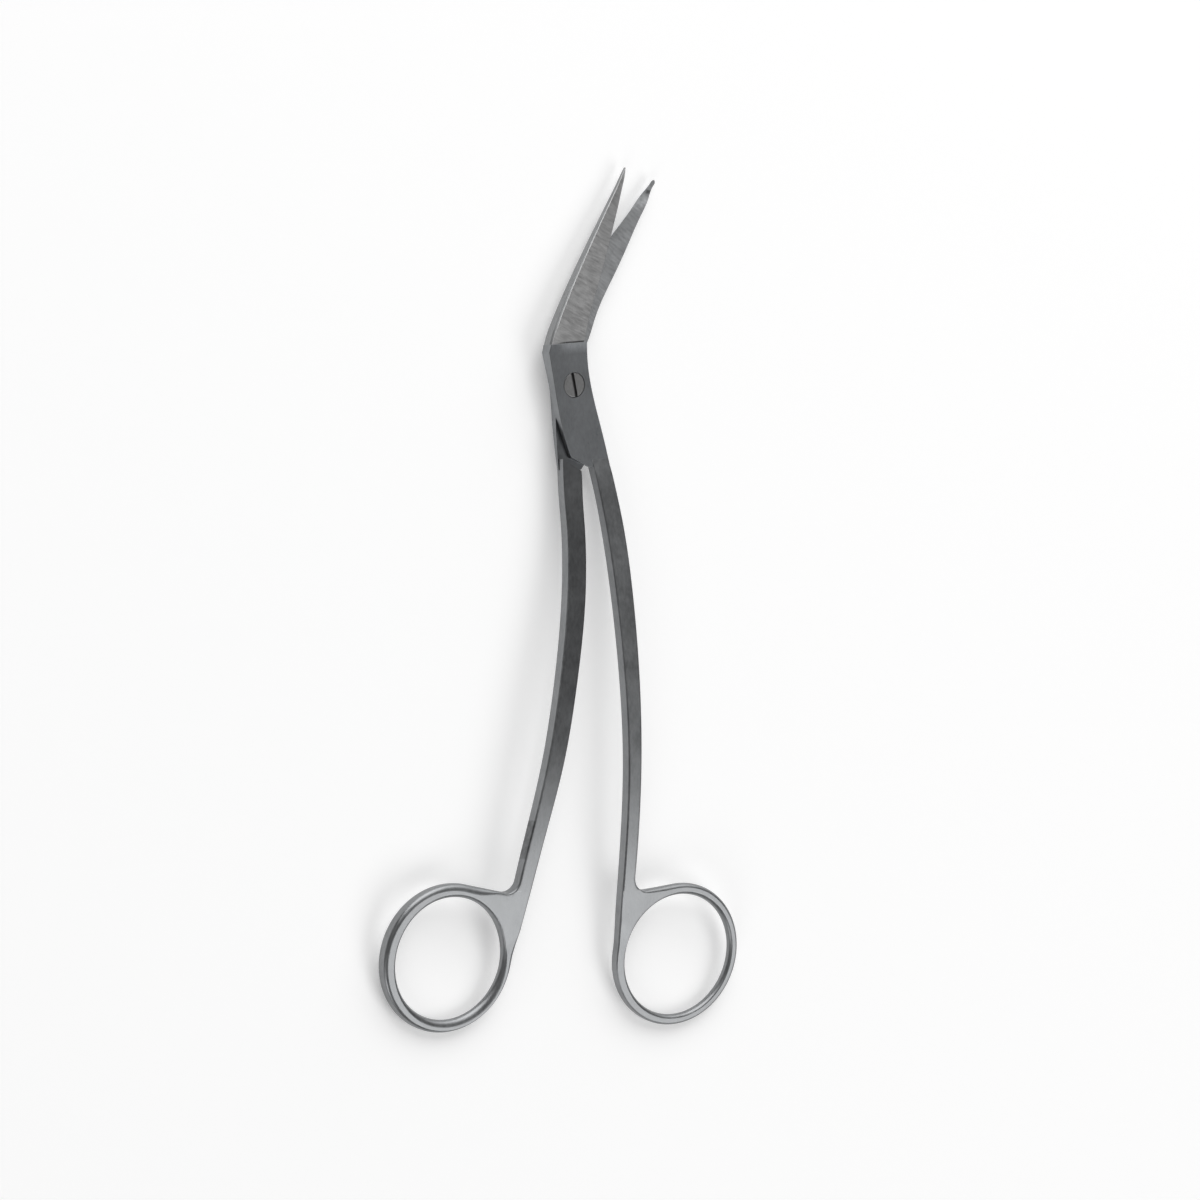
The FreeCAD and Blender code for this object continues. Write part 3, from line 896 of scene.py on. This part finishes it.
def rib_plan(handle, outline):
    """u and v of the points of every rib: up the hole's side of the wire, then along the face,
    then down the rim. A rib that slants over the wire has its distances stretched."""
    angle = np.unwrap(np.arctan2(outline[:, 1], outline[:, 0]))
    start_angle = rib_starts(handle, angle)
    hole_normal = on_rays(1, start_angle)
    hole_edge = handle.hole(start_angle)[:, None] * hole_normal
    rib = outline - hole_edge
    width = np.linalg.norm(rib, axis=1)
    rib /= width[:, None]
    along = np.roll(outline, -1, 0) - np.roll(outline, 1, 0)
    outward = np.stack([along[:, 1], -along[:, 0]], 1)
    outward /= np.linalg.norm(along, axis=1, keepdims=True)
    slant_in = 1 / np.clip((rib * hole_normal).sum(1), 0.5, 1)
    slant_out = 1 / np.clip((rib * outward).sum(1), 0.5, 1)
    filled, inner, rim, edge = rib_sizes(handle, outline, start_angle, width / slant_in)
    middle = np.linspace(0, 1, 12)[1:-1][None]
    inner_part = (inner * slant_in)[:, None] * quarter_turn
    outer_part = width[:, None] - (rim * slant_out)[:, None] * quarter_turn[::-1]
    middle_part = inner_part[:, -1:] * (1 - middle) + outer_part[:, :1] * middle
    distance = np.concatenate([inner_part, middle_part, outer_part], 1)
    plan = hole_edge[:, None] + distance[:, :, None] * rib[:, None]
    return plan[:, :, 0], plan[:, :, 1], filled[:, None], rim[:, None], edge[:, None]


def from_rim(handle, outline, u, v):
    """Least distance of each point from the real edges: the outline without the shared
    section, and the shank's two sides for a few millimetres beyond it."""
    real = np.ones(len(outline), bool)
    real[handle.first:handle.last] = False
    beyond_v = np.linspace(handle.cut_v, handle.cut_v + 4.0, 9)
    beyond = [np.stack([side, beyond_v], 1) for side in handle.edges(beyond_v)[:2]]
    starts = np.concatenate([outline[real]] + [b[:-1] for b in beyond])
    ends = np.concatenate([np.roll(outline, -1, 0)[real]] + [b[1:] for b in beyond])
    return segment_distance(np.stack([u, v], -1).reshape(-1, 2), starts, ends).reshape(u.shape)


def ring_sheet(handle):
    """Ribs of the ring, once round and back below its plane. The height above the plane is the
    least of three: the hole's side of the wire, r sqrt(1 - q^2); the rounded rim along the
    outline, edge + (face - edge) sqrt(1 - ((e - d) / e)^2) at distance d from it; and the
    ground flat."""
    outline = handle_outline(handle)
    u, v, filled, rim, edge = rib_plan(handle, outline)
    around = np.arctan2(v, u)
    r, top = handle.wire(around), round_the_ring(handle, "crest", around)
    q = (np.hypot(u, v) - handle.hole(around) - r) / r
    on_wire = r * np.sqrt(np.clip(1 - (np.maximum(top - q, 0) / (1 + top)) ** 2, 0, 1))
    off = from_rim(handle, outline, u, v)
    face = handle.at(handle.y_of(np.clip(v, 0, handle.cut_v).ravel()))[3].reshape(v.shape)
    rim_top = (1 - filled) * r + filled * face
    rise = np.sqrt(np.clip(1 - (np.maximum(rim - off, 0) / rim) ** 2, 0, 1))
    flat = (1 - filled) * r * handle.sizes["ground"] + filled * face
    up = np.minimum(np.minimum(on_wire, edge + (rim_top - edge) * rise), flat)
    up[:, 0] = 0
    up[:, -1:] = edge
    up[handle.first:handle.last + 1, -1] = handle.cut_section()[1]
    rim_u, rim_v, rim_up = u[:, -1:], v[:, -1:], up[:, -1:]
    sheet_u = np.concatenate([u, rim_u, rim_u, u[:, :0:-1]], 1)
    sheet_v = np.concatenate([v, rim_v, rim_v, v[:, :0:-1]], 1)
    sheet_up = np.concatenate([up, rim_up / 3, -rim_up / 3, -up[:, :0:-1]], 1)
    return handle.out_of_ring(sheet_u, sheet_v, sheet_up)


def shank_loops(handle):
    """Sections of the shank, from the shared one up to the lock. Over the first millimetres the
    height and the slope of its line settle from the ring's own: h + (ring's - h) e^(-d / l)."""
    settle_length, cut_v = 3.0, handle.cut_v
    v = np.concatenate([np.linspace(cut_v, handle.fillet_end, 9)[:-1],
                        np.linspace(handle.fillet_end, handle.v_of(shank_root_y), 130)])
    y = handle.y_of(v)
    height, half, round_ = handle.at(y)[[1, 3, 4]]
    slope = np.arctan(np.gradient(height, y))
    settle = np.exp(-(v - cut_v) / settle_length)
    height = height + settle * (handle.middle[2] + cut_v * ring_sin - height[0])
    slope = slope + settle * (ring_slope - slope[0])
    u, w = section(*handle.edges(v), half, round_)
    return np.stack([handle.middle[0] - handle.side * u, y[:, None] - w * np.sin(slope)[:, None],
                     height[:, None] + w * np.cos(slope)[:, None]], -1)


def handle_skin(name, side):
    """Closed skin of one handle: the ring's ribs all round, without the part that the shared
    section covers, then the shank's loops from that section to a flat end in the lock."""
    handle = Handle(side)
    ribs = ring_sheet(handle)
    count, columns = ribs.shape[:2]
    keep = np.ones((count, columns), bool)
    rim = columns // 2 - 1
    keep[handle.first:handle.last, rim:rim + 3] = False
    faces = grid_faces(count, columns)[keep].tolist()
    base = count * columns
    loops = shank_loops(handle)
    rows, columns = loops.shape[:2]
    shank_faces = (grid_faces(rows, columns)[:-1].reshape(-1, 4) + base).tolist()
    cap = [list(range(base + (rows - 1) * columns, base + rows * columns))]
    points = np.concatenate([ribs.reshape(-1, 3), loops.reshape(-1, 3)])
    print(name, "has", count, "ribs and", rows, "shank sections")
    return mesh_object(name, points, faces + shank_faces + cap)


# %% [markdown]
# Putting a half together
#
# The blade, the lock plate and the handle of a half are one forging. The handle is first cut
# back to its shoulder, where the other half's plate comes, then the three are joined and the
# hole for the screw is bored.

# %% Halves
def clearance_block(side):
    """The room of the other half's plate, beyond the meeting plane and the shoulder."""
    reach = 30.0
    ends = np.array(shoulder if side < 0 else [mirrored_in_lock(p) for p in shoulder])
    ends = ends[np.argsort(ends[:, 0])]
    run = (ends[1] - ends[0]) / np.linalg.norm(ends[1] - ends[0])
    low = np.array([ends[0] - reach * run, ends[0] + reach * run])
    plan = np.concatenate([low, low[::-1] + np.array([0, 2 * reach])])
    levels = np.array([side * lap_gap / 2, -side * reach])
    loops = np.stack([np.concatenate([plan, np.full((4, 1), level)], 1) for level in levels])
    return tube_object("clearance_block", loops)


def turned_skin(name, profile):
    """Lathe work: circles of the profile's radii and heights; the third value shears a circle
    so that it lies parallel to the lock's outer face, 1 in front and -1 behind."""
    a = np.linspace(0, 2 * math.pi, 96, endpoint=False)
    radius, height, shear = np.array(profile).T[:, :, None]
    y = radius * np.sin(a)
    z = height + shear * y * lock_slope
    return tube_object(name, np.stack([radius * np.cos(a), y, z], -1))


head_seat = 1.2
# a face that leans less than this counts as level: the height of its unit normal
level_normal = 0.8


def half_skin(name, side, steels, blade_sizes, inner_bevel, knee, left, right, end, bore):
    """One half in the closed frame: blade, plate and cut-back handle joined, then bored."""
    half = plate_skin(name, knee, left, right, end, side)
    blade = blade_skin(name + "_blade", blade_sizes, side, inner_bevel)
    handle = handle_skin(name + "_handle", side)
    for part, materials in zip((blade, half, handle), steels):
        for material in materials:
            part.data.materials.append(material)
        # the first finish is for the nearly level faces, the last for everything steeper
        normals = np.zeros(3 * len(part.data.polygons))
        part.data.polygons.foreach_get("normal", normals)
        steep = np.abs(normals.reshape(-1, 3)[:, 2]) < level_normal
        which = steep.astype(np.int32) * (len(materials) - 1)
        part.data.polygons.foreach_set("material_index", which)
    handle = joined(handle, clearance_block(side), "DIFFERENCE")
    half = joined(half, blade, "UNION")
    half = joined(half, handle, "UNION")
    return joined(half, turned_skin(name + "_bore", bore), "DIFFERENCE")


# the front plate's hole is clear of the stem and widens to the head's seat; the rear plate's
# hole holds the thread
clear_hole, seat_hole, thread_hole = 1.66, 2.5, 1.38
front = half_skin("front_half_steel", 1, front_steels, front_blade_sizes, front_bevel,
                  [(-5.2, knee_y)], front_left_edge, lock_right_edge + [right_root], front_end,
                  [(clear_hole, -1, 0), (clear_hole, head_seat, 0),
                   (seat_hole, head_seat, 0), (seat_hole, 5, 0)])
rear = half_skin("rear_half_steel", -1, rear_steels, rear_blade_sizes, rear_bevel,
                 np.zeros((0, 2)), rear_left_edge + [left_root], lock_right_edge, rear_end,
                 [(thread_hole, -5, 0), (thread_hole, 1, 0)])
screw = turned_skin("slotted_screw", [
    (1.25, -2.1, -1), (1.35, -2.0, -1), (1.35, -0.03, 0), (1.6, -0.03, 0), (1.6, 1.22, 0),
    (2.42, 1.22, 0), (2.42, 2.0, 1), (2.39, 2.06, 1), (2.33, 2.095, 1), (2.25, 2.1, 1)])
for piece in (front, rear, screw):
    print(piece.name, "faces", len(piece.data.polygons))

# %% The screw's slot
slot_half_width, slot_reach, slot_depth, above_head = 0.36, 4.0, 0.55, 5.0
slot_turn = math.radians(20.0)
slot_corners = np.array([(-1, -1), (1, -1), (1, 1), (-1, 1)]) * (slot_half_width, slot_reach)
slot_plan = slot_corners @ np.array([[math.cos(slot_turn), math.sin(slot_turn)],
                                     [-math.sin(slot_turn), math.cos(slot_turn)]])
slot_levels = [lock_face(slot_plan[:, 1]) - slot_depth, np.full(4, above_head)]
slot_tool = tube_object("slot_tool", np.stack([
    np.column_stack([slot_plan, level]) for level in slot_levels]))
screw.data.materials.append(screw_steel)
screw = joined(screw, slot_tool, "DIFFERENCE")

# %% [markdown]
# Laying the pieces down
#
# Each finished skin is moved to its place on the table in its own mesh, so that its object
# stays at the origin. Normals are weighted by face area, so that the large flats stay flat
# and only the narrow rounds turn.

# %% Onto the table
sharp_angle = math.radians(32)


def lay_down(piece, turn, body, node, slot_name):
    """Moves a skin onto the table, turned from the closed position by the angle in degrees, and
    hands it over as the finished form of its node."""
    piece.data.transform(table_matrix(turn))
    piece.data.shade_smooth()
    piece.data.set_sharp_from_angle(angle=sharp_angle)
    normals = piece.modifiers.new("even_normals", "WEIGHTED_NORMAL")
    normals.keep_sharp = True
    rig.replaces(piece, node)
    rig.ride(piece, body)
    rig.slot(piece, slot_name)
    print(piece.name, "triangles", sum(len(p.vertices) - 2 for p in piece.data.polygons))


lay_down(front, open_angle / 2, "front", "front_half", "front_steel")
lay_down(rear, -open_angle / 2, "rear", "rear_half", "rear_steel")
lay_down(screw, -open_angle / 2, "rear", "pivot_screw", "screw_steel")

# %% [markdown]
# The table and the light
#
# Steel shows its surroundings, so the light is part of the finish. The table is white, and
# soft boxes hang over it: a large one beyond the tips, one towards the rings, which brightens
# every face that slopes that way, a low one for the rings' upper edges, and a small weak one
# by the left ring, for the walls that look that way.

# %% Table
# the table looks brighter than the lamps make it, to the eye and in the steel
table_white, table_glow, table_half_size = 0.86, 0.25, 3
table_finish = Finish("white_table")
paper = table_finish.node("ShaderNodeBsdfPrincipled", None, {
    "Base Color": (table_white, table_white, table_white, 1), "Roughness": 0.9})
glow = table_finish.node("ShaderNodeEmission", None,
                         {"Color": (1, 1, 1, 1), "Strength": table_glow})
seen, in_steel, through_glass = [
    table_finish.node("ShaderNodeLightPath", out=ray)
    for ray in ("Is Camera Ray", "Is Glossy Ray", "Is Transmission Ray")]
dark = table_finish.node("ShaderNodeEmission", None, {"Strength": 0.0})
shown = table_finish.node("ShaderNodeMixShader", None,
                          {0: seen + in_steel + through_glass, 1: dark, 2: glow})
table_finish.ends_in(table_finish.node("ShaderNodeAddShader", None, {0: paper, 1: shown}))
corners = np.array([(-1, -1, 0), (1, -1, 0), (1, 1, 0), (-1, 1, 0)]) * table_half_size
table = mesh_object("table_top", corners, [(0, 1, 2, 3)])
table.data.materials.append(table_finish.material)
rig.stage(table)

# %% Light
room_light = 0.18
world = bpy.data.worlds.new("studio_room")
world.use_nodes = True
background = world.node_tree.nodes["Background"]
background.inputs["Color"].default_value = (1.0, 1.0, 1.0, 1)
background.inputs["Strength"].default_value = room_light
bpy.context.scene.world = world


def soft_box(name, place, size, power):
    """A square lamp that looks at the middle of the scissors."""
    lamp = bpy.data.lights.new(name, "AREA")
    lamp.shape, lamp.size, lamp.energy = "SQUARE", size, power
    box = bpy.data.objects.new(name, lamp)
    box.location = place
    box.rotation_euler = (-Vector(place)).to_track_quat("-Z", "Y").to_euler()
    bpy.context.scene.collection.objects.link(box)


soft_box("box_by_tips", (-0.2, 1.55, 1.25), 1.8, 27)
soft_box("box_by_rings", (0.93, -0.9, 1.33), 1.2, 11)
soft_box("low_box", (1.1, 1.5, 0.7), 1.2, 8)
soft_box("box_by_hand", (-0.95, -1.25, 0.8), 0.7, 4)
bpy.context.scene.view_settings.view_transform = "Standard"

# %% [markdown]
# Closing
#
# The boxes of the CAD model and of the finished pieces are written down next to each other,
# so that they can be compared.

# %% Sizes and hand over
with open("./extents.json", "w") as out:
    json.dump({"cad": [list(c) for c in cad_box], "visual": [list(c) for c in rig.bounds()]}, out)
print(open("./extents.json").read())
